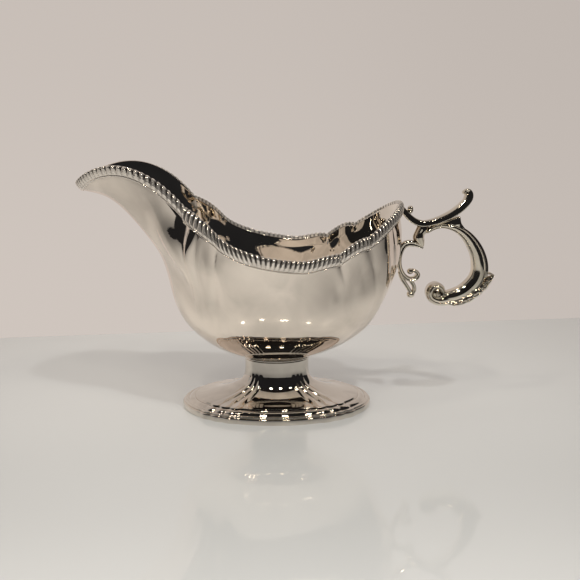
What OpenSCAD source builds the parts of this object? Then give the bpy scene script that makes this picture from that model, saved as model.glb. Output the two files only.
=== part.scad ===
// Silver sauce boat on an oval foot: fluted bowl with a wide lip, gadroon border, scroll handle.
// Origin: centre of the foot on the table. Lip toward -X, handle toward +X, +Z up. Millimetres.

/* [Bowl] */
// how far the wall of the lip stands in front of the foot's centre
lip_reach = 94.5; // [88:0.5:98]
// how far the wall at the handle stands behind the foot's centre
back_reach = 60; // [58:0.5:61]
// height of the rim at the tip of the lip
lip_height = 112.4; // [110:0.2:114]
// height of the rim at its lowest point, half way along the side
side_height = 78.3; // [76:0.1:80]
// height of the rim at the handle
back_height = 101; // [99.6:0.2:102]
// half the width of the bowl across its belly
half_width = 43; // [40:0.5:46]
// thickness of the bowl's wall
wall = 1.1; // [0.9:0.1:1.5]
// height of the bowl's underside above the table
bowl_base = 25.5; // [25:0.1:27]
// how far the flutes of the bowl stand out between their creases
flute_depth = 1.0; // [0:0.1:1.5]

/* [Border] */
// height of the applied border
border_height = 4.6; // [4:0.1:5]
// how much taller the border is where the rim runs steeply
border_growth = 1.0; // [0:0.1:1.2]
// how far the border's crest stands above the rim, as a share of its height
border_crest = 0.3; // [0:0.02:0.4]
// how far the border stands out from the wall
border_depth = 2.0; // [1.6:0.1:2.4]
// lobes along each half of the border
lobes = 88; // [60:1:100]
// depth of the grooves between lobes
lobe_depth = 0.45; // [0.2:0.05:0.6]

/* [Foot] */
// length of the oval foot
foot_length = 94.8; // [90:0.2:98]
// width of the oval foot
foot_width = 67.4; // [64:0.2:70]
// height of the upright band round the foot's edge
edge_height = 3.0; // [2.4:0.1:3.2]
// depth of the ribs on the foot
rib_depth = 0.7; // [0.3:0.1:1]
// thickness of the foot's sheet
foot_wall = 1.2; // [1:0.1:1.4]

/* [Handle] */
// half the width of the handle straps, across the boat
strap_half_width = 2.3; // [2:0.1:2.6]
// half the width of the thumb rest, across the boat
thumb_half_width = 4.2; // [3.4:0.1:4.8]
// half the width of the thick part of the scroll, across the boat
scroll_half_width = 3.9; // [3.4:0.1:4.4]
// radius of the beads on the leaf
bead_radius = 0.75; // [0.5:0.05:0.9]

/* [Detail] */
// samples along each arc of the rim
rim_samples = 8; // [6:1:12]
// rows of facets up the bowl's wall
wall_rows = 12; // [8:1:18]

/* [Hidden] */

silver = [0.86, 0.85, 0.82];
gap = 0.03;          // clearance between soldered pieces

// ---------- rim line ----------
// corners of the rim on one side, as [x, half width, height]
lip = [-lip_reach, 0, lip_height];
throat = [-41.5, half_width - 13, lip_height - 10.9];
shoulder = [-27, half_width - 2.7, side_height + 11.7];
side_dip = [10.5, half_width - 2, side_height];
rear_dip = [28, half_width - 9, side_height + 2.1];
rear_point = [41.5, half_width - 15, side_height + 8.7];
back = [back_reach, 0, back_height];

// each arc of the rim runs between two corners, led by two handles given as offsets
rim_arcs = [
    [lip, lip + [0, 12, 1.1], throat + [-27.5, 5, 36], throat],
    [throat, throat + [3.5, 5, -2], shoulder + [-5, -0.8, 5.5], shoulder],
    [shoulder, shoulder + [5, 2.2, -5.2], side_dip + [-20.5, 4.5, 1.5], side_dip],
    [side_dip, side_dip + [5, -1, -0.2], rear_dip + [-4.5, 5.2, 1.2], rear_dip],
    [rear_dip, rear_dip + [3, 1, 3], rear_point + [-4.5, 6, 1], rear_point],
    [rear_point, rear_point + [7.5, -2.5, 5.5], back + [-0.2, 14, 0], back]
];
arcs = len(rim_arcs);

function bezier(p, t) = pow(1 - t, 3) * p[0] + 3 * t * pow(1 - t, 2) * p[1]
    + 3 * t * t * (1 - t) * p[2] + pow(t, 3) * p[3];
function rim(s) = let (i = min(floor(s), arcs - 1)) bezier(rim_arcs[i], s - i);

// ---------- bowl wall ----------
// value that is a at the lip, m at the side and b at the handle, for a direction whose cosine is c
function blend3(a, m, b, c) = m + (b - a) / 2 * c + ((a + b) / 2 - m) * c * c;
// direction round the bowl, in degrees, of a rim point: 180 at the lip, 0 at the handle
side_x = 5;
function direction(x) = let (q = (back_reach - lip_reach) / 2 - side_x, l = (back_reach + lip_reach) / 2)
    acos(max(-1, min(1, (-l + sqrt(max(0, l * l - 4 * q * (side_x - x)))) / (2 * q))));

// control rings of the wall from its base up: x at lip, side and handle, half width, height at lip, side
// and handle, bunching of the flutes (degrees), share of the rim's outline, then how far the ring draws
// in toward the lip, swells at the throat and draws in ahead of the handle, as shares of its width
rings = [
    [[-16.2, 0, 16.2], 11.8, [bowl_base, bowl_base, bowl_base], 8, 0, 0, 0, 0],
    [[-30, 0, 31], 20.5, [29, 30, 30], 20, 0, 0, 0, 0],
    [[-47, 1, 47.3], 31.5, [44.5, 40, 42], 24, 0.1, 0.02, 0, 0],
    [[-52.3, 2, 54.4], 38.0, [61.5, 50, 60], 22, 0.3, 0.05, 0, 0],
    [[-56.5, 3, 59.6], 40.4, [85.5, 58.5, 72], 16, 0.6, 0.12, 0.03, 0.01],
    [[-77.4, 4, 61], 41.7, [105, 67.5, 86], 8, 1.0, 0.30, 0.09, 0.02]
];
function ease(x, a, b) = let (t = max(0, min(1, (x - a) / (b - a)))) t * t * (3 - 2 * t);
function control(r, p, d) = let (k = d - r[3] * sin(2 * d), y = r[1] * half_width / 43,
    w = (1 - r[4]) * y * sin(k) + r[4] * p[1] * y / half_width)
    [blend3(r[0][0], r[0][1], r[0][2], cos(k)),
     w * (1 - r[5] * ease(-cos(k), 0.6, 0.88) + r[6] * exp(-pow((cos(k) + 0.56) / 0.15, 2))
        - r[7] * exp(-pow((cos(k) - 0.42) / 0.2, 2))),
     blend3(r[2][0], r[2][1], r[2][2], cos(d))];

// outward direction of the rim in plan
function rim_out(s) = let (a = rim(max(0, s - 0.02)), b = rim(min(arcs, s + 0.02)), d = b - a,
    n = norm([d[0], d[1]])) s <= 0 ? [-1, 0, 0] : s >= arcs ? [1, 0, 0] : [-d[1] / n, d[0] / n, 0];
// from the foot of the border up to the rim: its height, and how far it leans out, by rim station
function border_rise(s) = let (h = border_height + border_growth * lookup(s, [[0, 0], [0.4, 0.5], [0.9, 1],
    [1.5, 0.9], [2.1, 0.4], [2.6, 0]]), lean = lookup(s, [[0, 0.45], [0.6, 0.4], [0.85, 0.08], [1.0, -0.08],
    [1.7, -0.12], [2.15, 0.1], [2.9, 0.13], [3.3, 0.06], [4, 0.02], [6, 0]]))
    [0, 0, h] + lean * h * rim_out(s);
function column(s) = let (p = rim(s), d = direction(p[0]))
    concat([for (r = rings) control(r, p, d)], [p - border_rise(s)]);
function spline_point(c, v) = let (n = len(c) - 1, i = min(floor(v * n), n - 1), f = v * n - i,
    a = i == 0 ? 2 * c[0] - c[1] : c[i - 1], z = i == n - 1 ? 2 * c[n] - c[n - 1] : c[i + 2])
    (pow(1 - f, 3) * a + (3 * pow(f, 3) - 6 * f * f + 4) * c[i]
     + (-3 * pow(f, 3) + 3 * f * f + 3 * f + 1) * c[i + 1] + pow(f, 3) * z) / 6;

// all stations round the bowl: near side from lip to handle, then back along the far side
half_stations = [for (i = [0 : arcs * rim_samples]) i / rim_samples];
function mirrored(p) = [p[0], -p[1], p[2]];

// creases of the wall, by rim station, and how far the flute after each stands out at height v
creases = [0.75, 1, 1.5, 2, 5, 5.5, 6.5];
crests = [0.8, 1.5, 0.9, 0.8, 0.9, 0.2];
function flute(s, v) = let (k = [for (i = [0 : 5]) if (s > creases[i] && s < creases[i + 1]) i])
    len(k) == 0 ? 0 : let (i = k[0], u = (s - creases[i]) / (creases[i + 1] - creases[i]))
    flute_depth * crests[i] * sin(180 * u) * ease(v, 0.15, 0.72) * (1 - ease(v, 0.8, 1));

// rows of one column, base to rim, moved in by t from the outside
function inward(c, s, v, t) = let (p = spline_point(c, v), q = spline_point(c, min(1, v + 0.02)),
    r = spline_point(c, max(0, v - 0.02)), d = q - r, h = norm([c[6][0] - side_x, c[6][1]]),
    o = [(c[6][0] - side_x * 0.4) / h, c[6][1] / h],
    n = [d[2] * o[0], d[2] * o[1], -(d[0] * o[0] + d[1] * o[1])])
    p - t * n / norm(n) + flute(s, v) * [o[0], o[1], 0];
function wall_column(s, t) = let (c = column(s))
    concat([for (k = [0 : wall_rows]) inward(c, s, k / wall_rows, t)],
        [inward(c, s, 1, t) + border_rise(s)]);

// closed skin through rings of points that all have the same count, each ring given in order
// (wrap joins the last ring to the first, turned is for rings that run the other way round)
module skin(rows, wrap = false, turned = false) {
    n = len(rows[0]);
    m = len(rows);
    sides = [for (j = [0 : (wrap ? m - 1 : m - 2)]) for (i = [0 : n - 1])
        let (a = j * n + i, b = j * n + (i + 1) % n,
             c = ((j + 1) % m) * n + (i + 1) % n, d = ((j + 1) % m) * n + i)
        each [[a, b, c], [a, c, d]]];
    caps = wrap ? [] : [[for (i = [n - 1 : -1 : 0]) i], [for (i = [0 : n - 1]) (m - 1) * n + i]];
    faces = concat(sides, caps);
    polyhedron([for (r = rows) each r],
        turned ? [for (f = faces) [for (i = [len(f) - 1 : -1 : 0]) f[i]]] : faces,
        convexity = 10);
}

module bowl() {
    color(silver)
    let (m = len(half_stations), near_out = [for (s = half_stations) wall_column(s, 0)],
        near_in = [for (s = half_stations) wall_column(s, wall)], last = wall_rows + 1)
    skin(concat(
        [for (k = [0 : last]) bowl_ring(near_out, k)],
        [for (k = [last : -1 : 0]) bowl_ring(near_in, k)]), turned = true);
}
function bowl_ring(near, k) = let (m = len(near)) concat([for (i = [0 : m - 1]) mirrored(near[i][k])],
    [for (i = [m - 2 : -1 : 1]) near[i][k]]);

// ---------- gadroon border ----------
// the border's round section, as [share of the depth out, share of the height down], with slanting lobes
section = [[0, 0.04 - border_crest], [0.42, -border_crest], [0.98, 0.3 - border_crest], [1, 0.6],
    [0.45, 0.97], [0, 0.98]];
lobe_steps = 4;
// how far the lobes slant along the rim from crest to foot, in lobes
function slant(s) = lookup(s, [[0, 0.1], [1.8, 0], [2.1, -0.9], [2.5, -0.9], [2.8, 0.5], [3.6, 0.7],
    [3.9, 1.4], [4.3, 0.1]]);
function border_section(s, phase) = let (p = rim(s), o = rim_out(s)) [for (q = section)
    let (groove = q[0] > 0.3 ? 0.5 + 0.5 * cos(360 * (phase + q[1] * slant(s))) : 0,
        r = q[0] * border_depth - lobe_depth * groove)
    p + (gap + r) * o - q[1] * border_rise(s)];
module border() {
    steps = lobes * lobe_steps;
    skin([for (k = [0 : steps]) let (f = 0.0008 + 0.9984 * k / steps)
        border_section(rim_at(f), k / lobe_steps)]);
}
// rim parameter at a fraction of the rim's length, from a table of chord lengths
fine = [for (i = [0 : arcs * 12]) rim(i / 12)];
travelled = [for (i = 0, t = 0; i < len(fine); t = t + (i + 1 < len(fine) ? norm(fine[i + 1] - fine[i]) : 0),
    i = i + 1) t];
function rim_at(f) = lookup(f * travelled[len(travelled) - 1],
    [for (i = [0 : len(fine) - 1]) [travelled[i], i / 12]]);

module border_far() { color(silver) border(); }
module border_near() { color(silver) mirror([0, 1, 0]) border(); }

// ---------- foot ----------
foot_columns = 78;
stem = [16.2, 11.8];
rib_centre = 56;     // direction of each group of ribs from the foot's long axis
rib_span = 15;       // half the spread of one group
function rib(a) = let (centres = [rib_centre, 180 - rib_centre, 180 + rib_centre, 360 - rib_centre],
    d = min([for (c = centres) abs(a - c)]))
    d < rib_span ? abs(sin(270 * (d + rib_span) / rib_span)) : 0;
function oval(rx, ry, z, amp) = [for (i = [0 : foot_columns - 1]) let (a = 360 * i / foot_columns,
    g = 1 + amp * rib(a) / rx) [rx * g * cos(a), ry * g * sin(a), z]];
// the foot's profile from its edge up, as [inset from the edge, height, rib strength]
edge_x = foot_length / 2;
edge_y = foot_width / 2;
moulding = [[0.9, edge_height + 0.05, 0.5], [1.0, edge_height + 0.7, 0.5], [2.3, edge_height + 0.4, 0.5],
    [3.8, edge_height + 1.8, 0.6], [5.4, edge_height + 2.2, 0.6], [6.2, edge_height + 2.0, 0.7],
    [6.8, edge_height + 2.8, 0.8]];
dome = [[33.5, 20.9, 6.9], [26, 16.8, 8.9], [19.6, 13.7, 11.8], [16.9, 12.3, 14.8], [15.9, 11.7, 18.5]];
stem_top = bowl_base - 1.2;
function foot_rings(t) = concat(
    [for (m = moulding) oval(edge_x - m[0] - t, edge_y - m[0] - t,
        m[1] - (m[1] > edge_height + 0.1 ? t * 0.8 : 0),
        t > 0 ? 0 : rib_depth * m[2])],
    [for (d = dome) oval(d[0] - t, d[1] - t, d[2] - t * 0.6, t > 0 ? 0 : rib_depth)],
    [oval(stem[0] - 0.2 - t, stem[1] - 0.2 - t, stem_top, 0)]);
module foot() {
    outer = foot_rings(0);
    inner = foot_rings(foot_wall);
    color(silver) skin(concat(outer, [for (i = [len(inner) - 1 : -1 : 0]) inner[i]]),
        wrap = true, turned = true);
}
module foot_rim() {
    color(silver) linear_extrude(height = edge_height) difference() {
        polygon([for (p = oval(edge_x, edge_y, 0, rib_depth * 0.5)) [p[0], p[1]]]);
        polygon([for (p = oval(edge_x - 2, edge_y - 2, 0, 0)) [p[0], p[1]]]);
    }
}
module stem_collar() {
    low = stem_top + gap;
    high = bowl_base - gap;
    middle = (low + high) / 2;
    color(silver) skin([oval(stem[0] - 2.4, stem[1] - 2.4, low, 0),
        oval(stem[0] + 0.2, stem[1] + 0.2, low, 0),
        oval(stem[0] + 0.5, stem[1] + 0.5, middle, 0), oval(stem[0] + 0.2, stem[1] + 0.2, high, 0),
        oval(stem[0] - 2.4, stem[1] - 2.4, high, 0)], wrap = true, turned = true);
}

// ---------- handle ----------
// smooth line through stations [x, z, half thickness, half width across]
function smooth_at(p, i, t) = let (n = len(p) - 1,
    a = i == 0 ? 2 * p[0] - p[1] : p[i - 1], b = p[i], c = p[i + 1],
    d = i + 1 == n ? 2 * p[n] - p[n - 1] : p[i + 2])
    0.5 * (2 * b + (c - a) * t + (2 * a - 5 * b + 4 * c - d) * t * t + (3 * b - a - 3 * c + d) * t * t * t);
function smooth_line(p, k) = concat(
    [for (i = [0 : len(p) - 2]) for (j = [0 : k - 1]) smooth_at(p, i, j / k)],
    [p[len(p) - 1]]);
function heading(l, i) = let (a = l[max(0, i - 1)], b = l[min(len(l) - 1, i + 1)],
    d = [b[0] - a[0], b[1] - a[1]]) d / norm(d);
// oval section of n points standing across the line at station i
function section_at(l, i, n) = let (q = l[i], h = heading(l, i)) [for (k = [0 : n - 1]) let (a = 360 * k / n,
    u = q[2] * cos(a), v = q[3] * sin(a)) [q[0] - h[1] * u, v, q[1] + h[0] * u]];
module strap(stations, k, n) {
    l = smooth_line(stations, k);
    skin([for (i = [0 : len(l) - 1]) section_at(l, i, n)]);
}

w1 = strap_half_width;
w2 = thumb_half_width;
w3 = scroll_half_width;
arm_line = [[63.5, 97.2, 1.5, w1], [65.8, 94.5, 1.6, w1], [68.6, 92.2, 1.5, w1], [72.3, 91.3, 1.3, w1],
    [77, 92.6, 1.3, w1 + 0.4], [83, 94.7, 1.6, w2 - 0.6], [88, 97.5, 2, w2], [92.2, 101.3, 1.9, w2 - 0.2],
    [94.2, 104.6, 1.6, w2 - 0.8], [93.6, 107.4, 1.3, w2 - 1.2], [91.6, 107.7, 1.1, w2 - 1.5]];
curl_line = [[65, 96.2, 0.9, w1 - 0.4], [66.4, 97.5, 1, w1 - 0.2], [66.9, 99.2, 1.1, w1 - 0.2],
    [65.8, 100.2, 1.1, w1 - 0.2], [64.9, 99.2, 0.8, w1 - 0.4]];
scroll_line = [[76.2, 89, 1, w1], [78.6, 89.8, 1, w1], [82.5, 90.9, 1.2, w1 + 0.3], [88, 90.2, 1.6, w1 + 0.6],
    [93.2, 86.9, 2.3, w1 + 1], [97.5, 81.9, 3, w3 - 0.3], [100.2, 76, 3.7, w3], [101, 70, 4.3, w3],
    [99.9, 64.2, 4.2, w3], [97, 59.5, 4.1, w3], [92.7, 56.2, 4, w3], [88.6, 54.7, 3.8, w3]];
volute_line = [[88.2, 54.6, 3.7, w3], [84.4, 53.6, 3.6, w3], [80.5, 53.2, 3.2, w3 + 0.2],
    [77.3, 55.4, 2.6, w3 + 0.4], [77, 58.4, 2.2, w3 + 0.4], [79.2, 60, 1.9, w3 + 0.2],
    [81, 59.3, 1.6, w3 - 0.4]];
knuckle_line = [[72, 89.7, 2.8, 2.6], [71.4, 86.5, 2.5, 2.9], [70.9, 84, 2.7, 3.1], [71.5, 81.7, 2, 2.4],
    [72, 80.3, 0.8, 1]];
bracket_line = [[71.6, 78.6, 0.5, 1.2], [68.7, 79.9, 1, w1 - 0.3], [65.8, 80.5, 1.4, w1], [63, 79, 1.5, w1],
    [61.15, 75.5, 1.3, w1], [60.25, 71, 1.15, w1], [60.1, 67.4, 1.15, w1], [61.8, 63.9, 1.2, w1],
    [65.2, 62, 1.2, w1], [68.5, 62.7, 1.2, w1], [70.1, 65.2, 1.1, w1 + 0.2], [69.2, 67.5, 0.9, w1 + 0.2],
    [67.4, 67.3, 0.8, w1]];
drop_line = [[62.2, 61.8, 0.6, w1 - 0.6], [63.7, 60.1, 0.8, w1 - 0.6], [65.2, 58.4, 1.3, 1.7],
    [66.5, 56.7, 2.2, 2.2], [67, 55.1, 1.9, 2], [67.3, 54, 0.8, 0.9]];

module handle_arm() {
    color(silver) union() {
        strap(arm_line, 3, 12);
        strap(curl_line, 3, 8);
        translate([92, 0, 107.4]) scale([1, 2, 1]) sphere(r = 1.15, $fn = 10);
    }
}
module handle_scroll() { color(silver) strap(scroll_line, 3, 12); }
module handle_volute() {
    eye = [81.6, 0, 56.6];
    color(silver) union() {
        difference() {
            strap(volute_line, 3, 12);
            translate([88.45, -10, 40]) cube([10, 20, 30]);
        }
        translate(eye) scale([1, 1.75, 1]) sphere(r = 2.3, $fn = 12);
        translate([80.2, 0, 56.9]) scale([1, 1.15, 1]) sphere(r = 3.4, $fn = 16);
    }
}
module handle_knuckle() { color(silver) strap(knuckle_line, 3, 12); }
module handle_bracket() {
    color(silver) union() {
        strap(bracket_line, 3, 10);
        translate([67.3, 0, 67.3]) scale([1, 1.6, 1]) sphere(r = 1.4, $fn = 12);
    }
}
module handle_drop() { color(silver) strap(drop_line, 3, 10); }

// leaf laid over the outside of the scroll's lower half, ending in a spur
leaf_line = smooth_line([for (i = [7 : 11]) scroll_line[i]], 4);
leaf_wrap = 62;      // how far the leaf reaches round the scroll each way, degrees
function leaf_section(i) = let (q = leaf_line[i], h = heading(leaf_line, i), m = len(leaf_line) - 1,
    t = 0.25 + 0.75 * sin(180 * min(1, 0.18 + i / m * 0.82)))
    concat([for (k = [-4 : 4]) leaf_point(q, h, k * leaf_wrap / 4, gap)],
        [for (k = [4 : -1 : -4])
            leaf_point(q, h, k * leaf_wrap / 4, gap + 0.3 + t * cos(k * leaf_wrap / 4 * 1.35))]);
function leaf_point(q, h, a, r) = let (u = (q[2] + r) * cos(a), v = (q[3] + r) * sin(a))
    [q[0] - h[1] * u, v, q[1] + h[0] * u];
module handle_leaf() {
    m = len(leaf_line) - 1;
    color(silver) union() {
        skin([for (i = [1 : m - 1]) leaf_section(i)], turned = true);
        hull() {
            translate([105.9, 0, 65.6]) scale([0.8, 2, 1.8]) sphere(r = 0.9, $fn = 12);
            translate([108.2, 0, 64.9]) sphere(r = 0.55, $fn = 12);
        }
        for (side = [-1, 1]) for (i = [5 : 2 : m - 2])
            let (q = leaf_line[i], h = heading(leaf_line, i), p = leaf_point(q, h, 30 * side, 0.9))
            translate(p) sphere(r = bead_radius, $fn = 8);
    }
}

bowl();
border_near();
border_far();
stem_collar();
foot();
foot_rim();
handle_arm();
handle_scroll();
handle_volute();
handle_leaf();
handle_knuckle();
handle_bracket();
handle_drop();
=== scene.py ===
# Silver sauce boat on an oval foot.
# Lip toward -X, handle toward +X, +Z up, near side toward -Y, origin in the middle of the foot's base.
# Shapes are worked out in millimetres, and make_mesh and card turn them into metres.
import math
import bpy
import numpy as np
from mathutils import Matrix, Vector


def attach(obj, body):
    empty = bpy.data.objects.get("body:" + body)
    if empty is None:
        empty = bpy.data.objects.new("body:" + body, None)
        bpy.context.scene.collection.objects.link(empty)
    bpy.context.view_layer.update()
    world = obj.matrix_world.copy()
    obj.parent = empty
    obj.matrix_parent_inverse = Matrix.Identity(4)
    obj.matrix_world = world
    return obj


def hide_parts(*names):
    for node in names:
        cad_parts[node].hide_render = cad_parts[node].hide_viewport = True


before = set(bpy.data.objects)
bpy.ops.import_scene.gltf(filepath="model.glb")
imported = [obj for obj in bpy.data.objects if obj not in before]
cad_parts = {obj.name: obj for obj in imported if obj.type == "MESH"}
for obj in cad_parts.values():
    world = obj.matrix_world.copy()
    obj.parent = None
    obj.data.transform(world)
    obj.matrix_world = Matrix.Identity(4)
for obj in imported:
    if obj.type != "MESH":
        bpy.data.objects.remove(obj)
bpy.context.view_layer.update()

MM = 0.001
# takes a point to the same place on the boat's other side
MIRROR = np.array([1, -1, 1])
# share of the full number of mesh steps
FINE = 1.0
scene = bpy.context.scene


# ---------------------------------------------------------------- mesh helpers
def make_mesh(name, points, faces, recess=None):
    """smooth-shaded object; recess says for each point how much of the material's second colour it takes"""
    mesh = bpy.data.meshes.new(name)
    mesh.from_pydata([tuple(p) for p in np.asarray(points, float) * MM], [], [tuple(f) for f in faces])
    mesh.validate()
    mesh.shade_smooth()
    if recess is not None:
        attribute = mesh.attributes.new("recess", "FLOAT", "POINT")
        attribute.data.foreach_set("value", np.asarray(recess, np.float32).ravel())
    piece = bpy.data.objects.new(name, mesh)
    scene.collection.objects.link(piece)
    return piece


def grid_faces(rows, cols, wrap_rows=False, turned=False):
    """faces of a grid that closes across its columns, and across its rows too with wrap_rows"""
    out = []
    for row in range(rows if wrap_rows else rows - 1):
        after = (row + 1) % rows
        for col in range(cols):
            beside = (col + 1) % cols
            a, b = row * cols + col, row * cols + beside
            c, d = after * cols + beside, after * cols + col
            out.append((a, d, c, b) if turned else (a, b, c, d))
    return out


def tube_faces(rings, cols, turned=False):
    """faces of a tube of rings, with a flat lid on both ends"""
    last = (rings - 1) * cols
    lids = [tuple(range(cols - 1, -1, -1)), tuple(last + i for i in range(cols))]
    if turned:
        lids = [lid[::-1] for lid in lids]
    return grid_faces(rings, cols, turned=turned) + lids


def smoothstep(x, start, end):
    """0 up to start, 1 from end on, and eased between them"""
    t = np.clip((np.asarray(x, float) - start) / (end - start), 0, 1)
    return t * t * (3 - 2 * t)


def smooth_chain(points, steps):
    """Catmull-Rom line through points, with the given number of steps in each span"""
    p = np.asarray(points, float)
    padded = np.concatenate([[2 * p[0] - p[1]], p, [2 * p[-1] - p[-2]]])
    out = []
    for i in range(len(p) - 1):
        a, b, c, d = padded[i:i + 4]
        for t in np.arange(steps) / steps:
            out.append(0.5 * (2 * b + (c - a) * t + (2 * a - 5 * b + 4 * c - d) * t * t
                              + (3 * b - a - 3 * c + d) * t ** 3))
    out.append(p[-1])
    return np.array(out)


def closed_chain(points, steps):
    """Catmull-Rom line through a closed loop of points"""
    p = list(map(tuple, points))
    line = smooth_chain([p[-1]] + p + [p[0], p[1]], steps)
    return line[steps:steps + len(p) * steps]


def unit(vectors):
    """vectors of length 1, along the last axis"""
    return vectors / np.maximum(np.linalg.norm(vectors, axis=-1, keepdims=True), 1e-9)


# ---------------------------------------------------------------- rim
# the rim from the lip to the handle, as six Bezier arcs of (x, half width, z)
ARCS = np.array([
    [(-94.5, 0, 112.4), (-94.5, 12, 113.5), (-69, 35, 137.5), (-41.5, 30, 101.5)],
    [(-41.5, 30, 101.5), (-38, 35, 99.5), (-32, 39.5, 95.5), (-27, 40.3, 90.0)],
    [(-27, 40.3, 90.0), (-22, 42.5, 84.8), (-10, 45.5, 79.8), (10.5, 41, 78.3)],
    [(10.5, 41, 78.3), (15.5, 40.0, 78.1), (23.5, 39.2, 81.6), (28, 34, 80.4)],
    [(28, 34, 80.4), (31, 35, 83.4), (37, 34, 88), (41.5, 28, 87)],
    [(41.5, 28, 87), (49, 25.5, 92.5), (59.8, 14, 101), (60, 0, 101)]], float)
# a rim station is a place along the arcs: 0 at the lip, LAST at the handle
LAST = len(ARCS)
FINE_STATIONS = np.linspace(0, LAST, 1201)
LIP_X, BACK_X = ARCS[0, 0, 0], ARCS[-1, -1, 0]
# where the wall's plan is widest
SIDE_X = 5.0
RIM_HALF_WIDTH = 43.0


def rim(s):
    """points of the rim at stations s, with their half width as y"""
    s = np.clip(np.asarray(s, float), 0, LAST)
    arc = np.minimum(np.floor(s).astype(int), LAST - 1)
    t = (s - arc)[..., None]
    p = ARCS[arc]
    return ((1 - t) ** 3 * p[..., 0, :] + 3 * t * (1 - t) ** 2 * p[..., 1, :]
            + 3 * t * t * (1 - t) * p[..., 2, :] + t ** 3 * p[..., 3, :])


def rim_around(s):
    """points of the rim, which carries on past both its ends as its own mirror image"""
    folded = np.where(s > LAST, 2 * LAST - s, -s)
    past = (s < 0) | (s > LAST)
    return np.where(past[:, None], rim(folded) * MIRROR, rim(s))


def outward(s):
    """level direction out of the rim, with the cusps between the arcs eased"""
    s = np.asarray(s, float)
    reach = 0.25
    along = rim_around(s + reach) - rim_around(s - reach)
    return unit(np.stack([-along[:, 1], along[:, 0], 0 * s], 1))


def eased_rim(taps):
    """the rim at FINE_STATIONS, with its cusps eased over the given number of them"""
    near = rim(FINE_STATIONS)
    far = near * MIRROR
    whole = np.concatenate([far[taps:0:-1], near, far[-2:-taps - 2:-1]])
    window = np.hanning(taps) / np.hanning(taps).sum()
    return np.stack([np.convolve(whole[:, j], window, "same")[taps:-taps] for j in range(3)], 1)


def direction(x):
    """plan direction of a place x along the boat: pi at the lip, 0 at the back"""
    bow, half = (BACK_X + LIP_X) / 2 - SIDE_X, (BACK_X - LIP_X) / 2
    root = np.sqrt(np.maximum(0, half * half - 4 * bow * (SIDE_X - x)))
    return np.arccos(np.clip((-half + root) / (2 * bow), -1, 1))


SOFT_RIM = eased_rim(61)
SOFT_WIDTHS = eased_rim(121)[:, 1]
RIM_DIRECTIONS = direction(rim(FINE_STATIONS)[:, 0])


def soft_rim(s):
    """rim with its cusps eased, for the wall below the border"""
    return np.stack([np.interp(s, FINE_STATIONS, SOFT_RIM[:, j]) for j in range(3)], 1)


def soft_width(angle):
    """half width of the rim's outline, with its cusps smoothed away, for a plan direction"""
    return np.interp(np.pi - angle, np.pi - RIM_DIRECTIONS, SOFT_WIDTHS)


def from_table(table, s):
    """value at rim stations s from a table of (station, value)"""
    return np.interp(s, *zip(*table))


# how far the wall leans out at the rim, as run over rise
LEAN = [(0, 0.45), (0.6, 0.42), (0.85, 0.05), (1.0, -0.12), (1.7, -0.12), (2.15, 0.13), (2.9, 0.13),
        (3.3, 0.05), (4.0, 0.02), (6, 0.0)]
# height of the border, which grows where the rim runs steeply
HEIGHTS = [(0, 4.6), (0.4, 5.1), (0.9, 5.6), (1.5, 5.5), (2.1, 5.0), (2.6, 4.6), (6, 4.6)]


def lean_at(s):
    """lean of the wall at rim stations s, with the corners of its table eased"""
    fine = np.linspace(0, LAST, 601)
    reach = 15
    window = np.hanning(2 * reach + 1)
    lean = np.interp(fine, np.asarray(s), from_table(LEAN, s))
    lean = np.convolve(np.pad(lean, reach, mode="edge"), window / window.sum(), "valid")
    return np.interp(s, fine, lean)


# ---------------------------------------------------------------- bowl
# thickness of the sheet
WALL = 1.0
# mesh columns in each arc of the rim's near half, and mesh rows up the wall
WALL_COLUMNS = (46, 24, 44, 24, 22, 32)
WALL_ROWS = 84
# rings of the wall, from its floor up: x at lip, side, back; half width; z at lip, side, back;
# bunching toward the ends in degrees; share of the rim's outline in the plan;
# narrowing toward the lip; swelling at the throat; drawing in toward the back
RINGS = [((-16.2, 0, 16.2), 11.8, (25.5, 25.5, 25.5), 8, 0, 0, 0, 0),
         ((-30, 0, 31), 20.5, (29, 30, 30), 20, 0, 0, 0, 0),
         ((-47, 1, 47.3), 31.5, (44.5, 40, 42), 24, 0.1, 0.02, 0, 0),
         ((-52.3, 2, 54.4), 38.0, (61.5, 50, 60), 22, 0.3, 0.05, 0, -0.01),
         ((-56.5, 3, 59.6), 40.4, (85.5, 58.5, 72), 16, 0.6, 0.12, 0.03, 0.01),
         ((-77.4, 4, 61), 41.7, (105, 67.5, 86), 8, 1.0, 0.30, 0.09, 0.02)]
# place and breadth, as cosines of the plan direction, of the throat's swelling and the drawing in
THROAT_AT, THROAT_BREADTH = -0.56, 0.15
HEEL_AT, HEEL_BREADTH = 0.42, 0.2
# creases of the wall: rim station of each at CREASE_HEIGHTS
CREASE_HEIGHTS = (0.4, 0.6, 0.8, 1.0)
CREASES = [(1.12, 1.0, 0.85, 0.73), (1.22, 1.12, 1.03, 1.0), (1.58, 1.50, 1.46, 1.46),
           (2.22, 2.20, 2.10, 1.98), (5.0, 5.0, 5.02, 5.05), (5.42, 5.44, 5.48, 5.5)]
# lobes between them: first crease, how far the lobe stands out, its roundness, the heights between
# which it comes up, and how far it tucks in at the top
LOBES = [(0, 1.5, 0.8, 0.50, 0.86, 0.8), (1, 1.5, 0.8, 0.36, 0.80, 0.8), (2, 0.9, 0.8, 0.26, 0.74, 0.6),
         (3, 0.8, 0.3, 0.10, 0.70, 0.2), (4, 0.9, 0.8, 0.10, 0.60, 0.5), (5, 1.0, 0.8, 0.10, 0.60, 0.5)]
# the place, from above, that the lobes stand out from
LOBE_CENTRE = (2.0, 0.0)
# share of the lobes' relief that shows inside
INSIDE_RELIEF = 0.55


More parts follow.
